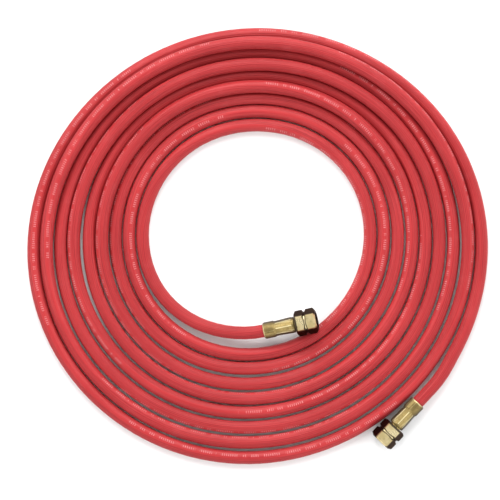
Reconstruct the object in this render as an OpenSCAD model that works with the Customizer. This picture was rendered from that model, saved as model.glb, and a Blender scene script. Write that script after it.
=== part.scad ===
// Gas hose with a crimped brass end fitting on each end, lying as a flat
// spiral coil. Millimetres, +Z up, floor at z = 0, coil centred on the origin.

/* [Hose] */
// Outside diameter of the hose
hose_od = 10.4; // [9.6:0.1:10.4]
// Bore of the hose
hose_bore = 4.8; // [4:0.1:5]

/* [Ferrules] */
// Length of a crimped ferrule
ferrule_len = 25.6; // [25:0.1:26]
// Diameter of the bell at the hose end
bell_od = 13.4; // [13:0.1:14]
// Length of the bell before the crimp starts
bell_len = 8.2; // [7:0.1:9]
// Diameter of the crimp at its narrow end
waist_od = 11.8; // [11.6:0.1:12.2]
// Diameter of the crimp at its wide end
crimp_od = 12.8; // [12.4:0.1:13]
// Number of flats that the crimping jaws leave
crimp_flats = 8; // [6:1:10]

/* [Nuts] */
// Width of the nut across its flats
nut_af = 18; // [17.4:0.1:18]
// Length of the nut
nut_len = 17.2; // [17:0.1:18]
// Distance of the marking groove from the back of the nut
groove_at = 8.3; // [7.5:0.1:9]
// Minor diameter of the left-hand thread
thread_minor = 12.9; // [12.9:0.05:13.2]
// Length of full thread behind the mouth chamfer
thread_len = 6; // [5.5:0.1:6.1]

/* [Stems] */
// Gas passage through the stem
stem_bore = 3.2; // [2.8:0.1:3.4]
// Diameter over the barbs
barb_od = 5.6; // [5:0.1:5.6]
// Diameter of the head that the nut pulls on
head_od = 12.4; // [12:0.1:12.6]

/* [Hidden] */

hose_colour = [0.76, 0.25, 0.27];
brass = [0.74, 0.65, 0.40];
brass_bright = [0.80, 0.72, 0.47];

// ---- where the pieces of a fitting lie along its own axis ----
// The axis runs along +X from the hose side of the ferrule to the nut's mouth.
wall_end = 1.8;                       // end wall of the ferrule
hose_in = ferrule_len - wall_end - 0.2; // how far the hose goes into it
nut_at = ferrule_len + 0.6;           // back face of the nut
nut_wall = 4;                         // wall that the stem's head pulls on
nut_end = nut_at + nut_len;
thread_from = nut_end - 0.95 - thread_len;
shank_r = 4.6;
head_at = nut_at + nut_wall + 0.2;
nose_end = thread_from - 0.2;
crimp_r = hose_od/2 - 0.5;            // hose squeezed by the crimp

// puts the middle of the whole coil's box on the origin
coil_at = [0.3, -0.9, 0];

// ---- where the two fittings lie ----
// mouth of the ferrule, heading of the axis and its tilt
inner_at = [4.8, -67, 11.5];
inner_head = 12.1;
inner_tilt = 8;
outer_at = [127.7, -124.2, 9];
outer_head = 226.5;
outer_tilt = 0;

// ---- route of the hose ----
// Radius and height of the centre line at every 30 degrees, clockwise seen
// from above, one row for each turn. Each row starts on the -Y side.
// From the 4th turn on the coil is gathered on the +Y side, and every
// other turn rides up on its neighbours there.
f = hose_od/2;
lead_in = [[62, 20], [64, 15.5]];
turns = [
    [[67, 11], [74.5, 7], [85.5, f], [92.5, f], [96.5, f], [98.5, f],
     [97.5, f], [97.5, f], [95, f], [89, f], [84.5, f], [83.5, f]],
    [[85, f], [91, f], [98, f], [103, f], [107.5, f], [109.5, f],
     [108.5, f], [108.5, f], [106, f], [100, f], [95.5, f], [94, f]],
    [[96, f], [102.5, f], [109, f], [114, f], [118, f], [120, f],
     [119, f], [119, f], [116.5, f], [111.5, f], [107.5, f], [106, f]],
    [[108.5, f], [115, f], [120.5, 5.5], [125, 8.5], [127.5, 11], [129, 12],
     [128, 12], [128.5, 11.5], [127, 8.5], [123, f], [119.5, f], [117.5, f]],
    [[120.5, f], [126.5, f], [132, f], [135.5, f], [137, f], [138, f],
     [137, f], [137.5, f], [137.5, f], [134, f], [130.5, f], [129, f]],
    [[131.5, f], [138, f], [144, f], [148.5, 5.5], [147, 9.5], [146.5, 11.5],
     [145.5, 12], [147, 11.5], [148, 8], [145, f], [142, f], [140.5, f]],
    [[143.5, f], [150, f], [156, f], [159, f], [157, f], [156, f],
     [155, f], [156.5, f], [158, f], [156.5, f], [154, f], [152.5, f]],
    [[155.5, f], [162, f], [168, 6], [170, 9], [166.5, 12], [164, 13.5],
     [162.5, 14], [164.5, 13.5], [168, 10.5], [168.5, 7], [166, f], [164.5, f]],
    [[168, f], [173.5, f], [179, f], [180.5, f], [175.5, f], [171, f],
     [169.5, f], [171.5, f], [177.5, f], [179.5, f], [177.5, 7], [179.5, 9]]
];
lead_out = [[188, 9], [205, 9]];
ctl = [for (part = [lead_in, for (row = turns) row, lead_out]) each part];

// smooth curve through the table; t is the angle wound, in degrees
function bspline(u, a, b, c, d) =
    (pow(1 - u, 3)*a + (3*pow(u, 3) - 6*u*u + 4)*b
     + (-3*pow(u, 3) + 3*u*u + 3*u + 1)*c + pow(u, 3)*d)/6;
function table_at(t) =
    let (i = floor(t/30), u = t/30 - i)
    bspline(u, ctl[i + 1], ctl[i + 2], ctl[i + 3], ctl[i + 4]);

// radius and height on a fitting's straight axis, for the same angle
function axis_at(t, at, head, tilt) =
    let (a = 270 - t, n = [-sin(head), cos(head)],
         r = (at.x*n.x + at.y*n.y)/(cos(a)*n.x + sin(a)*n.y),
         s = (r*cos(a) - at.x)*cos(head) + (r*sin(a) - at.y)*sin(head))
    [r, at.z + s*tan(tilt)];

// the curve leaves one axis and runs into the other between these angles
leave = [-8, 8];
enter = [3178, 3193.5];
function ease(x) = let (v = min(1, max(0, x))) v*v*v*(v*(6*v - 15) + 10);
function polar(t) =
    t < leave[1] ?
        let (w = ease((t - leave[0])/(leave[1] - leave[0])))
        axis_at(t, inner_at, inner_head, inner_tilt)*(1 - w) + table_at(t)*w
    : t > enter[0] ?
        let (w = ease((t - enter[0])/(enter[1] - enter[0])))
        axis_at(t, outer_at, outer_head, outer_tilt)*w + table_at(t)*(1 - w)
    : table_at(t);
function route(t) =
    let (p = polar(t), a = 270 - t)
    [p[0]*cos(a), p[0]*sin(a), max(p[1], f)];

// points on the fittings' axes, x mm from the mouth of the ferrule
function along(at, head, tilt, x) =
    at + x*[cos(head)*cos(tilt), sin(head)*cos(tilt), sin(tilt)];

// angles at which the hose leaves and enters the ferrules
t_in = 270 - (atan2(inner_at.y, inner_at.x) + 360);
t_out = 8*360 + 270 - (atan2(outer_at.y, outer_at.x) + 360) + 360;

// one ring of the hose: centre, outside radius, bore radius
stretched = barb_od/2 + 0.1;
bore_r = hose_bore/2;
inside_in = [[hose_in, crimp_r + 0.1, stretched], [10.4, crimp_r - 0.2, stretched],
             [8.2, f, stretched], [2.2, f, stretched], [1.2, f, bore_r]];
centres = concat(
    [for (k = inside_in)
        [along(inner_at, inner_head, inner_tilt, k[0]), k[1], k[2]]],
    [[route(t_in), f, bore_r]],
    [for (t = [0 : 10 : 380]) [route(t), f, bore_r]],
    [for (t = [390 : 15 : 3180]) [route(t), f, bore_r]],
    [[route(3188), f, bore_r], [route(t_out), f, bore_r]],
    [for (i = [len(inside_in) - 1 : -1 : 0]) let (k = inside_in[i])
        [along(outer_at, outer_head, outer_tilt, k[0]), k[1], k[2]]]);

// ---- tube with a bore, swept along a list of rings ----
sides = 12;
bore_sides = 6;
function unit(v) = v/norm(v);
function ring(c, dir, r, n, off) =
    let (s = unit([-dir.y, dir.x, 0]), v = cross(dir, s))
    [for (k = [0 : n - 1]) c + r*(cos(360*k/n + off)*s + sin(360*k/n + off)*v)];

module swept_tube(rings) {
    n = len(rings);
    per = sides + bore_sides;
    dirs = [for (i = [0 : n - 1])
        unit(rings[min(i + 1, n - 1)][0] - rings[max(i - 1, 0)][0])];
    pts = [for (i = [0 : n - 1]) each concat(
        ring(rings[i][0], dirs[i], rings[i][1], sides, 0),
        ring(rings[i][0], dirs[i], rings[i][2]/cos(180/bore_sides),
             bore_sides, 0))];
    skin = [for (i = [0 : n - 2], j = [0 : sides - 1])
        let (a = i*per + j, b = i*per + (j + 1) % sides) each
        [[a, b, b + per], [a, b + per, a + per]]];
    bore = [for (i = [0 : n - 2], j = [0 : bore_sides - 1])
        let (a = i*per + sides + j,
             b = i*per + sides + (j + 1) % bore_sides) each
        [[b, a, a + per], [b, a + per, b + per]]];
    start = [for (j = [0 : bore_sides - 1])
        let (b0 = sides + j, b1 = sides + (j + 1) % bore_sides,
             o0 = 2*j, o1 = 2*j + 1, o2 = (2*j + 2) % sides) each
        [[b0, o1, o0], [b0, b1, o1], [b1, o2, o1]]];
    last = (n - 1)*per;
    end = [for (j = [0 : bore_sides - 1])
        let (b0 = last + sides + j, b1 = last + sides + (j + 1) % bore_sides,
             o0 = last + 2*j, o1 = last + 2*j + 1,
             o2 = last + (2*j + 2) % sides) each
        [[b0, o0, o1], [b0, o1, b1], [b1, o1, o2]]];
    polyhedron(points = pts, faces = concat(skin, bore, start, end),
               convexity = 20);
}

module hose() {
    color(hose_colour) translate(coil_at) swept_tube(centres);
}

// ---- fitting pieces, along their own +X axis ----
module turned(profile) {
    rotate([0, 90, 0]) rotate_extrude($fn = 96) polygon(profile);
}

module ferrule() {
    cone_end = bell_len + 2;
    crimp_end = ferrule_len - 2.2;
    flat_from = waist_od/2 - 0.25;    // height of a flat over the axis
    flat_to = crimp_od/2 - 0.25;
    slope = atan((flat_to - flat_from)/(crimp_end - cone_end));
    difference() {
        // bell, cone down to the crimp, crimped length and rounded end rim
        turned([[0, 0], [bell_od/2 - 0.9, 0], [bell_od/2 - 0.35, 0.5],
                [bell_od/2, 1.6], [bell_od/2, bell_len],
                [waist_od/2, cone_end],
                [crimp_od/2, crimp_end], [crimp_od/2, ferrule_len - 1.1],
                [crimp_od/2 - 0.55, ferrule_len - 0.35],
                [crimp_od/2 - 1, ferrule_len], [0, ferrule_len]]);
        // flats that the jaws of the crimping tool leave
        for (k = [0 : crimp_flats - 1])
            rotate([360*(k + 0.5)/crimp_flats, 0, 0])
            translate([cone_end, 0, flat_from]) rotate([0, -slope, 0])
            translate([0, -6, 0]) cube([crimp_end - cone_end, 12, 3]);
        // inside: clear of the hose, then down on it under the crimp
        turned([[0, -1], [f + 0.3, -1], [f + 0.3, 0], [f + 0.1, 0.4],
                [f + 0.1, 8.4], [crimp_r - 0.1, 10.4],
                [crimp_r + 0.15, ferrule_len - wall_end],
                [shank_r + 0.05, ferrule_len - wall_end],
                [shank_r + 0.05, ferrule_len + 1], [0, ferrule_len + 1]]);
    }
}

module stem() {
    barb_r = barb_od/2;
    root_r = barb_r - 0.4;
    nose_r = 3.1;
    nose_from = head_at + 2.6;
    difference() {
        turned(concat(
            [[0, 2.4], [root_r, 2.4]],
            [for (k = [0 : 5]) each
                [[root_r, 2.4 + 3.4*k], [barb_r, 5.2 + 3.4*k],
                 [root_r, 5.3 + 3.4*k]]],
            [[root_r, hose_in + 0.1], [shank_r, hose_in + 0.1],
             [shank_r, head_at], [head_od/2 - 0.3, head_at],
             [head_od/2, head_at + 0.3], [head_od/2, nose_from]],
            [for (a = [15 : 15 : 75])
                [nose_r + (head_od/2 - nose_r)*cos(a),
                 nose_from + (nose_end - nose_from)*sin(a)]],
            [[nose_r, nose_end], [0, nose_end]]));
        translate([1, 0, 0]) rotate([0, 90, 0])
            cylinder(h = nose_end, d = stem_bore, $fn = 48);
        // countersink at the nose
        turned([[0, nose_end - 0.5], [stem_bore/2, nose_end - 0.5],
                [stem_bore/2 + 0.6, nose_end + 0.1], [0, nose_end + 0.1]]);
    }
}

module nut() {
    corner = nut_af/2/cos(30);
    groove_r = nut_af/2 - 0.3;
    half = 0.65 + (corner + 0.2 - groove_r)*tan(27);
    difference() {
        intersection() {
            translate([nut_at, 0, 0]) rotate([0, 90, 0]) rotate([0, 0, 30])
                cylinder(h = nut_len, r = corner, $fn = 6);
            // chamfers at both ends
            turned([[0, nut_at], [nut_af/2 - 0.5, nut_at],
                    [corner + 0.2, nut_at + 1.3],
                    [corner + 0.2, nut_end - 1.7],
                    [nut_af/2 - 1, nut_end], [0, nut_end]]);
        }
        // groove that marks a left-hand thread
        turned([[groove_r, nut_at + groove_at - 0.65],
                [corner + 0.2, nut_at + groove_at - half],
                [corner + 2, nut_at + groove_at - half],
                [corner + 2, nut_at + groove_at + half],
                [corner + 0.2, nut_at + groove_at + half],
                [groove_r, nut_at + groove_at + 0.65]]);
        // hole for the stem's shank
        translate([nut_at - 1, 0, 0]) rotate([0, 90, 0])
            cylinder(h = nut_wall + 2, r = shank_r + 0.1, $fn = 72);
        // relief behind the thread, where the stem's head turns
        translate([nut_at + nut_wall, 0, 0]) rotate([0, 90, 0])
            cylinder(h = thread_from - nut_at - nut_wall, r = 7.3, $fn = 72);
        // thread bore
        translate([thread_from - 1, 0, 0]) rotate([0, 90, 0])
            cylinder(h = nut_len, d = thread_minor, $fn = 72);
        // mouth chamfer
        turned([[0, nut_end - 0.95], [thread_minor/2, nut_end - 0.95],
                [thread_minor/2 + 1.05, nut_end + 0.1], [0, nut_end + 0.1]]);
    }
}

module at_inner() {
    translate(coil_at + inner_at) rotate([0, 0, inner_head])
        rotate([0, -inner_tilt, 0]) children();
}

module at_outer() {
    translate(coil_at + outer_at) rotate([0, 0, outer_head])
        rotate([0, -outer_tilt, 0]) children();
}

module inner_ferrule() { color(brass) at_inner() ferrule(); }
module inner_stem() { color(brass) at_inner() stem(); }
module inner_nut() { color(brass_bright) at_inner() nut(); }
module outer_ferrule() { color(brass) at_outer() ferrule(); }
module outer_stem() { color(brass) at_outer() stem(); }
module outer_nut() { color(brass_bright) at_outer() nut(); }

hose();
inner_ferrule();
inner_stem();
inner_nut();
outer_ferrule();
outer_stem();
outer_nut();
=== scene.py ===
import math

import bpy
import numpy as np
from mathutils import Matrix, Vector


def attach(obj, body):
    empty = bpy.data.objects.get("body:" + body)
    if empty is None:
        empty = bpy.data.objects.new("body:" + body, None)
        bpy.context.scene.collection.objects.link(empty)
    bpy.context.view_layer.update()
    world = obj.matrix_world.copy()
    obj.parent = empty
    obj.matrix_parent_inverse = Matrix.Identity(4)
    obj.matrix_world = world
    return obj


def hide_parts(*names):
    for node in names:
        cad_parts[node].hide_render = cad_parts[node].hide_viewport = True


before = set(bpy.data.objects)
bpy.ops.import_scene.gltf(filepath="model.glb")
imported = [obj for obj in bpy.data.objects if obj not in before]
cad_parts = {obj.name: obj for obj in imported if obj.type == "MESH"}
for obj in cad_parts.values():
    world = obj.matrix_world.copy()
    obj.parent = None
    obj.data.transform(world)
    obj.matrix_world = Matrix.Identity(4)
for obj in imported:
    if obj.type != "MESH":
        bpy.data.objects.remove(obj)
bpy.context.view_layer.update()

# ---------------------------------------------------------------------------
# Sizes, in millimetres as in the construction; everything is scaled by MM
# when it becomes a mesh.
# ---------------------------------------------------------------------------
MM = 0.001
HOSE_R = 5.2
BORE_R = 2.4
COIL_AT = np.array([0.3, -0.9, 0.0])

INNER_AT, INNER_HEAD, INNER_TILT = np.array([4.8, -67.0, 11.5]), 12.1, 8.0
OUTER_AT, OUTER_HEAD, OUTER_TILT = np.array([127.7, -124.2, 9.0]), 226.5, 0.0

FERRULE_LEN = 25.6
BELL_R, BELL_LEN = 6.7, 8.2
WAIST_R, CRIMP_R = 5.9, 6.4
HOSE_IN = 23.6
NUT_AT, NUT_LEN = 26.2, 17.2
NUT_END = NUT_AT + NUT_LEN
NUT_AF = 18.0
GROOVE_AT = 8.3
THREAD_R, THREAD_DEPTH, THREAD_PITCH = 6.45, 0.68, 1.411
THREAD_FROM = NUT_END - 0.95 - 6.0

# ---------------------------------------------------------------------------
# The hose's route: radius and height of its centre line at every 30 degrees,
# clockwise seen from above, one row for each turn, as in the construction.
# ---------------------------------------------------------------------------
f = HOSE_R
LEAD_IN = [(62, 20), (64, 15.5)]
TURNS = [
    [(67, 11), (74.5, 7), (85.5, f), (92.5, f), (96.5, f), (98.5, f),
     (97.5, f), (97.5, f), (95, f), (89, f), (84.5, f), (83.5, f)],
    [(85, f), (91, f), (98, f), (103, f), (107.5, f), (109.5, f),
     (108.5, f), (108.5, f), (106, f), (100, f), (95.5, f), (94, f)],
    [(96, f), (102.5, f), (109, f), (114, f), (118, f), (120, f),
     (119, f), (119, f), (116.5, f), (111.5, f), (107.5, f), (106, f)],
    [(108.5, f), (115, f), (120.5, 5.5), (125, 8.5), (127.5, 11), (129, 12),
     (128, 12), (128.5, 11.5), (127, 8.5), (123, f), (119.5, f), (117.5, f)],
    [(120.5, f), (126.5, f), (132, f), (135.5, f), (137, f), (138, f),
     (137, f), (137.5, f), (137.5, f), (134, f), (130.5, f), (129, f)],
    [(131.5, f), (138, f), (144, f), (148.5, 5.5), (147, 9.5), (146.5, 11.5),
     (145.5, 12), (147, 11.5), (148, 8), (145, f), (142, f), (140.5, f)],
    [(143.5, f), (150, f), (156, f), (159, f), (157, f), (156, f),
     (155, f), (156.5, f), (158, f), (156.5, f), (154, f), (152.5, f)],
    [(155.5, f), (162, f), (168, 6), (170, 9), (166.5, 12), (164, 13.5),
     (162.5, 14), (164.5, 13.5), (168, 10.5), (168.5, 7), (166, f),
     (164.5, f)],
    [(168, f), (173.5, f), (179, f), (180.5, f), (175.5, f), (171, f),
     (169.5, f), (171.5, f), (177.5, f), (179.5, f), (177.5, 7), (179.5, 9)],
]
LEAD_OUT = [(188, 9), (205, 9)]
CTL = np.array(LEAD_IN + [p for row in TURNS for p in row] + LEAD_OUT, float)


def table_at(t):
    i = int(math.floor(t / 30.0))
    u = t / 30.0 - i
    a, b, c, d = CTL[i + 1:i + 5]
    return ((1 - u) ** 3 * a + (3 * u ** 3 - 6 * u * u + 4) * b
            + (-3 * u ** 3 + 3 * u * u + 3 * u + 1) * c + u ** 3 * d) / 6


def axis_at(t, at, head, tilt):
    a, h = math.radians(270 - t), math.radians(head)
    nx, ny = -math.sin(h), math.cos(h)
    r = (at[0] * nx + at[1] * ny) / (math.cos(a) * nx + math.sin(a) * ny)
    s = ((r * math.cos(a) - at[0]) * math.cos(h)
         + (r * math.sin(a) - at[1]) * math.sin(h))
    return np.array([r, at[2] + s * math.tan(math.radians(tilt))])


def ease(x):
    x = min(1.0, max(0.0, x))
    return x * x * x * (x * (6 * x - 15) + 10)


def polar(t):
    if t < 8:
        w = ease((t + 8) / 16)
        return (axis_at(t, INNER_AT, INNER_HEAD, INNER_TILT) * (1 - w)
                + table_at(t) * w)
    if t > 3178:
        w = ease((t - 3178) / 15.5)
        return (axis_at(t, OUTER_AT, OUTER_HEAD, OUTER_TILT) * w
                + table_at(t) * (1 - w))
    return table_at(t)


def route(t):
    r, z = polar(t)
    a = math.radians(270 - t)
    return np.array([r * math.cos(a), r * math.sin(a), max(z, f)])


def axes_of(head, tilt):
    """Axis of a fitting, its level side and the direction across both."""
    h, e = math.radians(head), math.radians(tilt)
    d = np.array([math.cos(h) * math.cos(e), math.sin(h) * math.cos(e),
                  math.sin(e)])
    side = np.array([-math.sin(h), math.cos(h), 0.0])
    return d, side, np.cross(d, side)


T_IN = 270 - (math.degrees(math.atan2(INNER_AT[1], INNER_AT[0])) + 360)
T_OUT = (8 * 360 + 270
         - (math.degrees(math.atan2(OUTER_AT[1], OUTER_AT[0])) + 360) + 360)


# ---------------------------------------------------------------------------
# Camera: straight above, long lens, a view 400 mm across.
# ---------------------------------------------------------------------------
cam_data = bpy.data.cameras.new("camera")
cam_data.sensor_width = 36.0
cam_data.lens = 270.0
cam = bpy.data.objects.new("camera", cam_data)
bpy.context.scene.collection.objects.link(cam)
cam.location = (-0.0061, -0.0033, 3.006)
cam.rotation_euler = (0, 0, 0)
cam_data.clip_start, cam_data.clip_end = 0.05, 60
bpy.context.scene.camera = cam


# ---------------------------------------------------------------------------
# Mesh helpers
# ---------------------------------------------------------------------------
def make_object(name, verts, faces, sharp=None):
    mesh = bpy.data.meshes.new(name)
    mesh.from_pydata((np.asarray(verts) * MM).tolist(), [], faces)
    mesh.validate()
    mesh.polygons.foreach_set("use_smooth", [True] * len(mesh.polygons))
    if sharp is not None:
        mesh.set_sharp_from_angle(angle=math.radians(sharp))
    mesh.update()
    obj = bpy.data.objects.new(name, mesh)
    bpy.context.scene.collection.objects.link(obj)
    return obj


def smin(k, *values):
    """Smallest of several surfaces, with the meeting edges rounded by k."""
    v = np.stack(np.broadcast_arrays(*values))
    m = v.min(axis=0)
    return m - k * np.log(np.exp(-(v - m) / k).sum(axis=0))


def smooth(a, b, x):
    u = np.clip((np.asarray(x, float) - a) / (b - a), 0, 1)
    return u * u * (3 - 2 * u)


# ---------------------------------------------------------------------------
# The hose: a round tube with fine ribs along it, a smooth land that carries
# the layline, and its bore. One closed mesh.
# ---------------------------------------------------------------------------
AROUND = 96
BORE_AROUND = 12

line_t = np.arange(T_IN, T_OUT, 0.5)
line = np.array([route(t) for t in line_t] + [route(T_OUT)])
d_in = axes_of(INNER_HEAD, INNER_TILT)[0]
d_out = axes_of(OUTER_HEAD, OUTER_TILT)[0]
inside = [HOSE_IN, 20, 15, 10.4, 9.7, 9.0, 8.2, 5, 2]
lead = np.array([INNER_AT + d_in * x for x in inside])
tail = np.array([OUTER_AT + d_out * x for x in reversed(inside)])
steps = np.r_[0, np.cumsum(np.linalg.norm(np.diff(line, axis=0), axis=1))]
RUN = float(steps[-1])
count = 940
even = np.linspace(0, RUN, count)
free = np.stack([np.interp(even, steps, line[:, k]) for k in range(3)], axis=1)
centre = np.concatenate([lead, free, tail]) + COIL_AT
arc = np.r_[0, np.cumsum(np.linalg.norm(np.diff(centre, axis=0), axis=1))]
rings = len(centre)

squeeze = {HOSE_IN: 4.8, 20: 4.73, 15: 4.62, 10.4: 4.5, 9.7: 4.68, 9.0: 4.96,
           8.2: 5.18, 5: HOSE_R, 2: HOSE_R}
ring_r = np.array([squeeze[x] for x in inside] + [HOSE_R] * count
                  + [squeeze[x] for x in reversed(inside)])
ring_b = np.array([2.95] * 8 + [2.9] + [BORE_R] * count + [2.9] + [2.95] * 8)

tangent = np.empty_like(centre)
tangent[1:-1] = centre[2:] - centre[:-2]
tangent[0], tangent[-1] = centre[1] - centre[0], centre[-1] - centre[-2]
tangent /= np.linalg.norm(tangent, axis=1)[:, None]
side = np.stack([-tangent[:, 1], tangent[:, 0], 0 * tangent[:, 0]], axis=1)
side /= np.linalg.norm(side, axis=1)[:, None]
up = np.cross(tangent, side)

# where the layline stands on the hose, as degrees from the top, at 6 places
# a turn, because a hose turns a little about itself while it is wound
ROLL = [
    60, 150, 100, -48, -58, -45,
    -30, -20, -12, -12, 2, 18,
    46, 54, 48, 40, 62, 80,
    66, 44, 60, 46, -30, -44,
    -62, -70, -50, -56, -62, -40,
    -10, 30, 60, 95, 120, 80,
    40, 66, 90, 60, -20, -46,
    -60, -40, 20, 58, 66, 30,
    -34, -10, 14, 40, 70, 90,
]
roll_key = np.arange(len(ROLL)) * 60.0
ring_t = np.r_[[T_IN] * len(lead), np.interp(even, steps, np.r_[line_t, T_OUT]),
               [T_OUT] * len(tail)]
fine = np.arange(0, 3300, 5.0)
soft = np.interp(fine, roll_key, ROLL)
soft = np.convolve(np.r_[[soft[0]] * 8, soft, [soft[-1]] * 8], np.ones(17) / 17,
                   "valid")
roll = np.radians(np.interp(ring_t, fine, soft))

phi = np.arange(AROUND) * 2 * math.pi / AROUND          # about the land, at pi/2
from_land = np.abs((np.degrees(phi) - 90 + 180) % 360 - 180)
ribbed = smooth(27, 33, from_land)
rib = 0.5 - 0.5 * np.cos(24 * phi)
profile = -0.24 * rib * ribbed - 0.04 * (1 - ribbed)

verts, uvs = [], []
theta = phi[None, :] - roll[:, None]                      # angle in the world
inside_w = np.ones(rings)
inside_w[:9] = inside_w[-9:] = 0.35
radius = ring_r[:, None] + profile[None, :] * inside_w[:, None]
outer = (centre[:, None, :]
         + radius[:, :, None] * (np.cos(theta)[:, :, None] * side[:, None, :]
                                 + np.sin(theta)[:, :, None] * up[:, None, :]))
b_rings = sorted(set(list(range(0, 9)) + list(range(9, rings - 9, 4))
                     + list(range(rings - 9, rings))))
b_phi = np.arange(BORE_AROUND) * 2 * math.pi / BORE_AROUND
bore = (centre[b_rings, None, :]
        + ring_b[b_rings, None, None]
        * (np.cos(b_phi)[None, :, None] * side[b_rings, None, :]
           + np.sin(b_phi)[None, :, None] * up[b_rings, None, :]))
verts = np.concatenate([outer.reshape(-1, 3), bore.reshape(-1, 3)])
B0 = rings * AROUND


def oi(i, j):
    return i * AROUND + j % AROUND


def bi(i, j):
    return B0 + i * BORE_AROUND + j % BORE_AROUND


faces = [(oi(i, j), oi(i, j + 1), oi(i + 1, j + 1), oi(i + 1, j))
         for i in range(rings - 1) for j in range(AROUND)]
nb = len(b_rings)
faces += [(bi(i, j + 1), bi(i, j), bi(i + 1, j), bi(i + 1, j + 1))
          for i in range(nb - 1) for j in range(BORE_AROUND)]
per = AROUND // BORE_AROUND


def cap(i_o, i_b, flip):
    # the roll at the ends turns the outer ring against the bore
    shift = int(round(roll[i_o] / (2 * math.pi / AROUND)))
    out = []
    for j in range(BORE_AROUND):
        o = [oi(i_o, per * j + shift + k) for k in range(per + 1)]
        b0, b1 = bi(i_b, j), bi(i_b, j + 1)
        half = per // 2
        for k in range(half):
            out.append((b0, o[k + 1], o[k]))
        out.append((b0, b1, o[half]))
        for k in range(half, per):
            out.append((b1, o[k + 1], o[k]))
    return [tuple(reversed(q)) for q in out] if flip else out


faces += cap(0, 0, False) + cap(rings - 1, nb - 1, True)

hose = make_object("red_gas_hose", verts, faces, sharp=60)

uv = hose.data.uv_layers.new(name="lay")
loop_v = np.empty(len(hose.data.loops), dtype=np.int64)
hose.data.loops.foreach_get("vertex_index", loop_v)
loop_poly = np.repeat(np.arange(len(hose.data.polygons)),
                      [p.loop_total for p in hose.data.polygons])
is_outer = loop_v < B0
ring_i = np.where(is_outer, loop_v // AROUND, 0)
col_i = np.where(is_outer, loop_v % AROUND, 0)
# a face that closes the circle runs on past 1 instead of back to 0
poly_max = np.zeros(len(hose.data.polygons), dtype=np.int64)
np.maximum.at(poly_max, loop_poly, col_i)
wrap = is_outer & (col_i == 0) & (poly_max[loop_poly] == AROUND - 1)
u = np.where(is_outer, arc[ring_i] * MM, 0.0)
v = np.where(is_outer, (col_i + AROUND * wrap) / AROUND, 0.0)
uv.data.foreach_set("uv", np.stack([u, v], axis=1).ravel().astype(np.float32))


groove = np.zeros(len(hose.data.vertices), dtype=np.float32)
groove[:B0] = np.tile(rib * ribbed, rings)
hose.data.attributes.new("groove", "FLOAT", "POINT").data.foreach_set(
    "value", groove)

# ---------------------------------------------------------------------------
# Turned pieces: rows of points along a closed profile, each a ring about the
# fitting's own axis.
# ---------------------------------------------------------------------------
def lathe(name, at, head, tilt, x, r, angles, sharp=30, thread_uv=False):
    """x and r are arrays of rows by angles; the profile closes on itself."""
    d, s, w = axes_of(head, tilt)
    o = at + COIL_AT
    x, r = np.broadcast_arrays(np.asarray(x, float), np.asarray(r, float))
    n, m = r.shape
    pts = (o + x[:, :, None] * d + r[:, :, None]
           * (np.cos(angles)[None, :, None] * s
              + np.sin(angles)[None, :, None] * w))
    quads = []
    for i in range(n):
        a, b = i * m, ((i + 1) % n) * m
        for j in range(m):
            k = (j + 1) % m
            quads.append((a + j, b + j, b + k, a + k))
    obj = make_object(name, pts.reshape(-1, 3), quads, sharp=sharp)
    own = np.stack([(np.cos(angles)[None, :] * r).ravel(),
                    (np.sin(angles)[None, :] * r).ravel(), x.ravel()], axis=1)
    att = obj.data.attributes.new("own", "FLOAT_VECTOR", "POINT")
    att.data.foreach_set("vector", (own * MM).ravel().astype(np.float32))
    return obj


def rows(*parts):
    xs, rs = [], []
    for x, r in parts:
        x, r = np.broadcast_arrays(np.asarray(x, float), np.asarray(r, float))
        xs.append(x)
        rs.append(r)
    return np.concatenate(xs), np.concatenate(rs)


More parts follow.
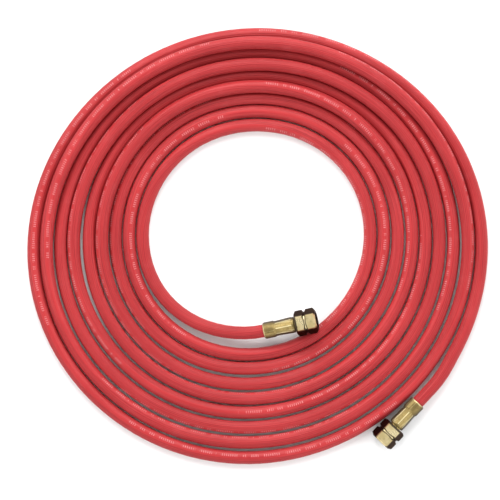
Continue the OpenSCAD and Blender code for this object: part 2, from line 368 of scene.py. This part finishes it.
def build_ferrule(name, at, head, tilt):
    m = 192
    ang = np.arange(m) * 2 * math.pi / m
    deg = np.degrees(ang)
    one = np.ones((1, m))
    cone_end, crimp_end = BELL_LEN + 2, FERRULE_LEN - 2.2

    # outside, from the mouth to the end rim
    x = np.unique(np.round(np.concatenate([
        [0, 0.1, 0.25, 0.45, 0.7, 1.0, 1.3, 1.6, 1.8],
        np.arange(2.4, BELL_LEN - 0.4, 0.9),
        np.arange(BELL_LEN - 0.6, cone_end + 0.9, 0.15),
        np.arange(cone_end + 0.9, crimp_end - 0.6, 0.6),
        np.arange(crimp_end - 0.6, FERRULE_LEN - 0.01, 0.12),
        [FERRULE_LEN]]), 3))[:, None]
    lip = 5.8 + 0.9 * np.sqrt(np.clip(1 - (1 - np.clip(x / 1.7, 0, 1)) ** 2, 0, 1))
    bell = lip + 0 * one
    run = (x - cone_end) / (crimp_end - cone_end)
    circle = WAIST_R + 0.06 + (CRIMP_R - WAIST_R) * run
    height = WAIST_R - 0.25 + (CRIMP_R - WAIST_R) * run
    off = np.radians((deg - 90 + 360) % 45 - 22.5)[None, :]
    flat = height / np.cos(off)
    # a low fin stands where two jaws met
    fin = 0.13 * np.exp(-((np.abs(np.degrees(off)) - 22.5) / 2.4) ** 2)
    crimp = smin(0.035, circle + 0 * one, flat) + fin
    w_in = smooth(BELL_LEN - 0.15, cone_end + 0.25, x)
    w_out = smooth(crimp_end - 0.25, crimp_end + 0.2, x)
    body = bell * (1 - w_in) + crimp * w_in
    rim_x = np.clip((x - (FERRULE_LEN - 1.5)) / 1.5, 0, 1)
    rim = (CRIMP_R - 0.02) - 1.05 * (1 - np.sqrt(1 - rim_x ** 2))
    body = body * (1 - w_out) + (rim + 0 * one) * w_out
    # the jaws pressed each flat a little unevenly
    body = body - 0.03 * w_in * (1 - w_out) * (
        1 + np.sin(2.3 * np.floor((deg - 90 + 360) / 45))[None, :]
        * np.sin(x * 0.55 + 1.0))
    X, R = rows(
        (x + 0 * one, body),
        (np.array([[FERRULE_LEN], [FERRULE_LEN - 0.15]]) + 0 * one,
         np.array([[4.8], [4.65]]) + 0 * one),
        (np.array([[FERRULE_LEN - 1.8], [FERRULE_LEN - 1.8], [18.0], [10.4],
                   [8.4], [0.5], [0.12], [0.0]]) + 0 * one,
         np.array([[4.65], [4.85], [4.74], [4.6], [5.3], [5.3], [5.45],
                   [5.6]]) + 0 * one))
    return lathe(name, at, head, tilt, X, R, ang, sharp=38)


def build_nut(name, at, head, tilt):
    part = np.array([0, .5, 1, 1.6, 2.3, 3.3, 4.8, 7, 10, 13.5, 17, 20.5, 24,
                     27, 30])
    sector = np.unique(np.r_[part, 60 - part[::-1]])[:-1]
    deg = np.concatenate([sector + 60 * k for k in range(6)])
    ang = np.radians(deg)
    one = np.ones((1, len(ang)))
    corner = NUT_AF / 2 / math.cos(math.radians(30))
    hexa = (NUT_AF / 2) / np.cos(np.radians((deg - 90 + 30 + 360) % 60 - 30))
    g = NUT_AT + GROOVE_AT
    x = np.unique(np.round(np.concatenate([
        NUT_AT + np.array([0, .04, .1, .2, .3, .42, .56, .7, .85, 1.0, 1.15,
                           1.3, 1.5, 1.8]),
        np.arange(NUT_AT + 2.5, g - 2.0, 0.8),
        np.arange(g - 1.8, g + 1.81, 0.12),
        np.arange(g + 2.4, NUT_END - 2.4, 0.8),
        NUT_END - np.array([0, .04, .1, .2, .32, .46, .6, .75, .9, 1.05, 1.2,
                            1.35, 1.5, 1.7, 1.95, 2.3])]), 3))[:, None]
    back = 8.5 + (x - NUT_AT) * (corner + 0.2 - 8.5) / 1.3
    front = 8.0 + (NUT_END - x) * (corner + 0.2 - 8.0) / 1.7
    away = np.abs(x - g)
    groove = 8.7 + np.clip(away - 0.65, 0, None) / math.tan(math.radians(27))
    R = smin(0.055, hexa[None, :] + 0 * x, back + 0 * one, front + 0 * one,
             groove + 0 * one)
    R = np.minimum(R, corner - 0.02)
    mouth = np.array([[NUT_END], [NUT_END], [NUT_END - 0.06],
                      [NUT_END - 0.5]])
    mouth_r = np.array([[7.7], [7.45], [7.34], [6.95]])
    tx = np.arange(NUT_END - 0.95, THREAD_FROM - 0.001, -0.1)[:, None]
    turn = (tx - THREAD_FROM) / THREAD_PITCH + ang[None, :] / (2 * math.pi)
    saw = np.abs((turn % 1.0) - 0.5) * 2                # 0 at a root, 1 at a crest
    cut = np.clip((0.80 - saw) / 0.68, 0, 1)
    fade = smooth(NUT_END - 0.7, NUT_END - 1.5, tx) * smooth(
        THREAD_FROM, THREAD_FROM + 0.5, tx)
    thread = THREAD_R + THREAD_DEPTH * cut * (0.15 + 0.85 * fade)
    tail_x = np.array([[THREAD_FROM - 0.05], [NUT_AT + 4.0], [NUT_AT + 4.0],
                       [NUT_AT + 0.15], [NUT_AT], [NUT_AT], [NUT_AT]])
    tail_r = np.array([[7.3], [7.3], [4.7], [4.7], [4.85], [6.4], [8.0]])
    X, Rr = rows(
        (x + 0 * one, R),
        (mouth + 0 * one, mouth_r + 0 * one),
        (tx + 0 * one, thread),
        (tail_x + 0 * one, tail_r + 0 * one))
    return lathe(name, at, head, tilt, X, Rr, ang, sharp=32)


# both fittings ------------------------------------------------------------
ferrule_in = build_ferrule("inner_crimped_ferrule", INNER_AT, INNER_HEAD, INNER_TILT)
ferrule_out = build_ferrule("outer_crimped_ferrule", OUTER_AT, OUTER_HEAD, OUTER_TILT)
nut_in = build_nut("inner_swivel_nut", INNER_AT, INNER_HEAD, INNER_TILT)
nut_out = build_nut("outer_swivel_nut", OUTER_AT, OUTER_HEAD, OUTER_TILT)


# ---------------------------------------------------------------------------
# Materials
# ---------------------------------------------------------------------------
class Net:
    """A material's node tree, with short calls for its nodes."""

    def __init__(self, name):
        self.mat = bpy.data.materials.new(name)
        self.mat.use_nodes = True
        self.tree = self.mat.node_tree
        self.tree.nodes.clear()
        self.out = self.tree.nodes.new("ShaderNodeOutputMaterial")
        self.bsdf = self.tree.nodes.new("ShaderNodeBsdfPrincipled")
        self.tree.links.new(self.bsdf.outputs[0], self.out.inputs["Surface"])

    def put(self, value, socket):
        if isinstance(value, bpy.types.NodeSocket):
            self.tree.links.new(value, socket)
        elif value is not None:
            socket.default_value = value

    def math(self, op, a, b=None, c=None, clamp=False):
        n = self.tree.nodes.new("ShaderNodeMath")
        n.operation, n.use_clamp = op, clamp
        for i, v in enumerate((a, b, c)):
            self.put(v, n.inputs[i])
        return n.outputs[0]

    def ramp(self, value, lo, hi, a=0.0, b=1.0):
        n = self.tree.nodes.new("ShaderNodeMapRange")
        n.interpolation_type = "SMOOTHSTEP"
        self.put(value, n.inputs[0])
        for i, v in enumerate((lo, hi, a, b)):
            self.put(float(v), n.inputs[i + 1])
        return n.outputs[0]

    def mix(self, fac, a, b):
        n = self.tree.nodes.new("ShaderNodeMix")
        n.data_type = "RGBA"
        self.put(fac, n.inputs[0])
        self.put(a, n.inputs[6])
        self.put(b, n.inputs[7])
        return n.outputs[2]

    def noise(self, vector, scale, detail=3.0, rough=0.5):
        n = self.tree.nodes.new("ShaderNodeTexNoise")
        self.put(vector, n.inputs["Vector"])
        n.inputs["Scale"].default_value = scale
        n.inputs["Detail"].default_value = detail
        n.inputs["Roughness"].default_value = rough
        return n.outputs[0]

    def scaled(self, vector, s):
        n = self.tree.nodes.new("ShaderNodeVectorMath")
        n.operation = "MULTIPLY"
        self.put(vector, n.inputs[0])
        n.inputs[1].default_value = s
        return n.outputs[0]

    def attribute(self, name):
        n = self.tree.nodes.new("ShaderNodeAttribute")
        n.attribute_name = name
        return n

    def xyz(self, vector):
        n = self.tree.nodes.new("ShaderNodeSeparateXYZ")
        self.put(vector, n.inputs[0])
        return n.outputs

    def bump(self, height, strength, distance):
        n = self.tree.nodes.new("ShaderNodeBump")
        self.put(height, n.inputs["Height"])
        n.inputs["Strength"].default_value = strength
        n.inputs["Distance"].default_value = distance
        return n.outputs[0]


def rgb(r, g, b):
    """An sRGB colour out of 255, as the linear colour a socket takes."""
    out = []
    for c in (r, g, b):
        c /= 255.0
        out.append(c / 12.92 if c <= 0.04045 else ((c + 0.055) / 1.055) ** 2.4)
    return (*out, 1.0)


def rubber_material():
    n = Net("red_rubber")
    uvn = n.tree.nodes.new("ShaderNodeUVMap")
    uvn.uv_map = "lay"
    uv_out = uvn.outputs[0]
    u, v, _ = n.xyz(uv_out)
    coord = n.tree.nodes.new("ShaderNodeTexCoord").outputs["Object"]

    # the rubber: slow changes along the hose, long thin streaks, fine grain
    slow = n.noise(coord, 14.0, 2.0)
    streak = n.noise(n.scaled(uv_out, (16.0, 52.0, 1.0)), 1.0, 3.0, 0.55)
    grain = n.noise(coord, 900.0, 2.0, 0.6)
    base = n.mix(n.ramp(slow, 0.35, 0.65), rgb(162, 44, 46), rgb(169, 48, 50))
    base = n.mix(n.ramp(streak, 0.42, 0.70, 0.0, 0.45), base, rgb(126, 24, 32))
    base = n.mix(n.ramp(streak, 0.40, 0.26, 0.0, 0.35), base, rgb(178, 70, 76))
    # painted shade and dust: the grooves between the ribs are darkened, partly as
    # dust that they hold and partly as shade in the recess
    groove_dust_and_shade = n.math("MULTIPLY", n.attribute("groove").outputs["Fac"],
                  n.ramp(streak, 0.3, 0.7, 0.16, 0.46))
    base = n.mix(groove_dust_and_shade, base, rgb(84, 14, 20))
    # handling leaves a pale bloom in places
    bloom = n.math("MULTIPLY", n.ramp(n.noise(coord, 55.0, 4.0, 0.6), 0.52, 0.78),
                   n.ramp(grain, 0.3, 0.8, 0.4, 1.0))
    base = n.mix(n.math("MULTIPLY", bloom, 0.12), base, rgb(182, 100, 104))

    # layline: short upright bars in groups, worn here and there
    across = n.math("ABSOLUTE", n.math("SUBTRACT", v, 0.25))
    band = n.ramp(across, 0.030, 0.034, 1.0, 0.0)
    bar = n.math("PINGPONG", u, 0.00085)
    bars = n.ramp(bar, 0.00036, 0.00052, 0.0, 1.0)
    group = n.math("MODULO", u, 0.0172)
    group = n.ramp(group, 0.0134, 0.0136, 1.0, 0.0)
    space = n.math("MODULO", n.math("ADD", u, 0.004), 0.0283)
    group = n.math("MULTIPLY", group, n.ramp(space, 0.0251, 0.0253, 1.0, 0.0))
    stretch = n.math("MODULO", n.math("ADD", u, 0.02), 0.335)
    stretch = n.ramp(stretch, 0.232, 0.2322, 1.0, 0.0)
    worn = n.ramp(n.noise(n.scaled(uv_out, (900.0, 120.0, 1.0)), 1.0, 3.0, 0.65),
                  0.38, 0.60)
    ink = n.math("MULTIPLY", n.math("MULTIPLY", band, bars),
                 n.math("MULTIPLY", group, stretch))
    ink = n.math("MULTIPLY", ink, worn)
    colour = n.mix(n.math("MULTIPLY", ink, 0.70), base, rgb(200, 142, 144))
    n.put(colour, n.bsdf.inputs["Base Color"])

    rough = n.ramp(n.noise(coord, 120.0, 3.0), 0.3, 0.7, 0.38, 0.48)
    n.put(n.math("ADD", rough, n.math("MULTIPLY", ink, 0.12)),
          n.bsdf.inputs["Roughness"])
    fine_streak = n.noise(n.scaled(uv_out, (60.0, 150.0, 1.0)), 1.0, 2.0)
    height = n.math("ADD", n.math("MULTIPLY", fine_streak, 0.6),
                    n.math("MULTIPLY", grain, 0.4))
    n.put(n.bump(height, 0.35, 0.00012), n.bsdf.inputs["Normal"])
    n.bsdf.inputs["Specular IOR Level"].default_value = 0.2
    return n.mat


def brass_material(name, tint, dark, side_shade_ramp, rough_lo, rough_hi, lathe_marks,
                   metal, side_metal, side_at, streaks, grooved):
    """Brass, with tool marks round its own axis and stains; painted shade on its
    sides and underside, on the nut also in the groove and on the back chamfer;
    painted highlights on the ferrule's fins and mouth.
    """
    n = Net(name)
    att = n.attribute("own").outputs["Vector"]
    x, y, z = n.xyz(att)
    spots = n.noise(n.scaled(att, (1.0, 1.0, 1.0)), 260.0, 5.0, 0.62)
    cloud = n.noise(n.scaled(att, (1.0, 1.0, 1.0)), 90.0, 3.0, 0.55)
    fine = n.noise(n.scaled(att, (1.0, 1.0, 1.0)), 1700.0, 3.0, 0.6)
    base = n.mix(n.ramp(cloud, 0.32, 0.68), tint, dark)
    base = n.mix(n.ramp(spots, 0.55, 0.70, 0.0, 0.55), base, rgb(96, 78, 44))
    base = n.mix(n.ramp(fine, 0.58, 0.75, 0.0, 0.25), base, rgb(120, 98, 54))
    # painted shade: the sides and underside of the piece as it lies are painted dark
    # brown, more the further the surface turns away from up
    radius = n.math("SQRT", n.math("ADD", n.math("MULTIPLY", x, x),
                                   n.math("MULTIPLY", y, y)))
    high = n.math("DIVIDE", y, n.math("MAXIMUM", radius, 0.0005))
    painted_shade = n.ramp(high, side_shade_ramp[0], side_shade_ramp[1], side_shade_ramp[2], 0.0)
    painted_shade = n.math("MULTIPLY", painted_shade, n.ramp(cloud, 0.2, 0.6, 0.97, 1.0))
    # drawn and crimped tube has streaks along it
    lines = n.noise(n.scaled(att, (1500.0, 1500.0, 30.0)), 1.0, 3.0, 0.6)
    base = n.mix(n.ramp(lines, 0.56, 0.74, 0.0, streaks), base, rgb(232, 214, 158))
    base = n.mix(n.ramp(lines, 0.46, 0.30, 0.0, streaks), base, rgb(92, 78, 46))
    if grooved:
        # painted shade: the walls of the groove and the chamfer at the back are
        # painted dark, the middle of the groove's bottom less so
        away = n.math("ABSOLUTE", n.math("SUBTRACT", z, (NUT_AT + GROOVE_AT) * MM))
        slant = n.math("MULTIPLY", n.math("SUBTRACT", radius, 8.7 * MM), 0.51)
        beyond = n.math("SUBTRACT", n.math("SUBTRACT", away, slant), 0.65 * MM)
        cut = n.ramp(beyond, 0.05 * MM, 0.28 * MM, 0.92, 0.0)
        cut = n.math("MULTIPLY", cut, n.ramp(away, 0.30 * MM, 0.60 * MM, 0.2, 1.0))
        back = n.ramp(z, (NUT_AT + 1.4) * MM, (NUT_AT + 2.0) * MM, 0.92, 0.0)
        painted_shade = n.math("MAXIMUM", painted_shade, n.math("MAXIMUM", cut, back))
    else:
        # painted highlight: the fins between the jaw marks and the bell's mouth are
        # painted bright
        turn = n.math("PINGPONG", n.math("ARCTAN2", y, x), math.pi / 8)
        fins = n.math("MULTIPLY", n.ramp(turn, 0.03, 0.08, 1.0, 0.0),
                      n.math("MULTIPLY", n.ramp(z, 0.0100, 0.0108, 0.0, 1.0),
                             n.ramp(z, 0.0236, 0.0230, 0.0, 1.0)))
        mouth = n.ramp(z, 0.0005, 0.0012, 0.42, 0.0)
        painted_highlight = n.math("MAXIMUM", n.math("MULTIPLY", fins, 0.75), mouth)
        base = n.mix(painted_highlight, base, rgb(244, 230, 180))
    # painted shade: everything in the shade mask takes this dark brown
    base = n.mix(painted_shade, base, rgb(46, 35, 31))
    n.put(base, n.bsdf.inputs["Base Color"])
    # where it leans over, the metallic value follows the painted side shade: lower on
    # the ferrule, full on the nut, whose dark sides then reflect like dark metal
    leaning = n.ramp(high, side_at[0], side_at[1], 1.0, 0.0)
    n.put(n.math("ADD", metal, n.math("MULTIPLY", leaning, side_metal - metal)),
          n.bsdf.inputs["Metallic"])
    n.bsdf.inputs["Specular IOR Level"].default_value = 0.15
    n.bsdf.inputs["Specular Tint"].default_value = (0.62, 0.58, 0.56, 1.0)
    r = n.ramp(cloud, 0.3, 0.7, rough_lo, rough_hi)
    r = n.math("ADD", r, n.ramp(fine, 0.4, 0.8, 0.0, 0.10))
    n.put(r, n.bsdf.inputs["Roughness"])
    ring = n.noise(n.scaled(att, (60.0, 60.0, 5200.0)), 1.0, 2.0)
    height = n.math("ADD", n.math("MULTIPLY", ring, lathe_marks),
                    n.math("MULTIPLY", fine, 0.5))
    n.put(n.bump(height, 0.25, 0.00006), n.bsdf.inputs["Normal"])
    return n.mat


rubber = rubber_material()
brass_nut = brass_material("brass_nut", rgb(224, 208, 164), rgb(188, 170, 120),
                           (0.74, 0.88, 1.0), 0.24, 0.38, 0.2,
                           0.65, 1.0, (0.72, 0.90), 0.0, True)
brass_ferrule = brass_material("brass_ferrule", rgb(146, 127, 80),
                               rgb(122, 105, 66), (0.42, 0.97, 0.90),
                               0.30, 0.46, 0.1, 0.65, 0.10, (0.70, 0.93),
                               0.55, False)
brass_stem = Net("brass_stem")
obj_co = brass_stem.tree.nodes.new("ShaderNodeTexCoord").outputs["Object"]
cloudy = brass_stem.noise(obj_co, 300.0, 4.0)
brass_stem.put(brass_stem.mix(brass_stem.ramp(cloudy, 0.35, 0.7),
                              rgb(214, 190, 122), rgb(168, 142, 84)),
               brass_stem.bsdf.inputs["Base Color"])
brass_stem.bsdf.inputs["Metallic"].default_value = 1.0
brass_stem.put(brass_stem.ramp(cloudy, 0.3, 0.7, 0.25, 0.4),
               brass_stem.bsdf.inputs["Roughness"])

for obj, mat in ((hose, rubber), (ferrule_in, brass_ferrule),
                 (ferrule_out, brass_ferrule), (nut_in, brass_nut),
                 (nut_out, brass_nut)):
    obj.data.materials.append(mat)
for node in ("inner_stem", "outer_stem"):
    for o in (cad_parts[node] if isinstance(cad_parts[node], (list, tuple))
              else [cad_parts[node]]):
        if not o.material_slots:
            o.data.materials.append(brass_stem.mat)
        for s in o.material_slots:
            s.material = brass_stem.mat

# ---------------------------------------------------------------------------
# What moves with what
# ---------------------------------------------------------------------------
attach(hose, "hose_assembly")
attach(ferrule_in, "hose_assembly")
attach(ferrule_out, "hose_assembly")
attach(nut_in, "inner_swivel")
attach(nut_out, "outer_swivel")
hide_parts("hose")
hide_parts("inner_ferrule")
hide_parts("outer_ferrule")
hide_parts("inner_nut")
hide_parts("outer_nut")

# ---------------------------------------------------------------------------
# Floor and light
# ---------------------------------------------------------------------------
bpy.ops.mesh.primitive_plane_add(size=30, location=(0, 0, -0.0002))
floor = bpy.context.object
floor.name = "floor"
fm = Net("floor")
fm.bsdf.inputs["Base Color"].default_value = (0.86, 0.86, 0.86, 1)
fm.bsdf.inputs["Roughness"].default_value = 0.9
fm.bsdf.inputs["Specular IOR Level"].default_value = 0.1
floor.data.materials.append(fm.mat)


def area_light(name, place, size, power, aim=(0, 0, 0), shape="RECTANGLE"):
    data = bpy.data.lights.new(name, "AREA")
    data.shape = shape
    data.size, data.size_y = size
    data.energy = power
    ob = bpy.data.objects.new(name, data)
    bpy.context.scene.collection.objects.link(ob)
    ob.location = place
    ob.rotation_euler = (Vector(aim) - Vector(place)).to_track_quat(
        "-Z", "Y").to_euler()
    return ob


area_light("key", (0.0, 2.5, 1.45), (2.6, 0.6), 34)
area_light("crown", (-0.15, 1.05, 1.8), (0.5, 0.5), 10)

# a pale room: dim straight above but for a small bright patch, a bright band
# all round, and a little brighter towards +Y
world = bpy.data.worlds.new("studio")
world.use_nodes = True
wt = world.node_tree
bg = wt.nodes["Background"]


class Sky(Net):
    def __init__(self, tree):
        self.tree = tree


sky = Sky(wt)
way = wt.nodes.new("ShaderNodeTexCoord").outputs["Generated"]
wx, wy, wz = sky.xyz(way)
ring_light = sky.math("MULTIPLY", sky.ramp(wz, 0.35, 0.46, 0.05, 1.0),
                      sky.ramp(wz, 0.71, 0.58, 0.28, 5.5))
patch = sky.ramp(wz, 0.972, 0.990, 0.0, 0.45)
tilt = sky.ramp(wy, -0.9, 0.9, 0.85, 1.15)
level = sky.math("MULTIPLY", sky.math("ADD", ring_light, patch), tilt)
sky.put((1.0, 1.0, 1.0, 1.0), bg.inputs[0])
sky.put(level, bg.inputs[1])
bpy.context.scene.world = world
bpy.context.scene.view_settings.view_transform = "Standard"
bpy.context.scene.view_settings.look = "None"
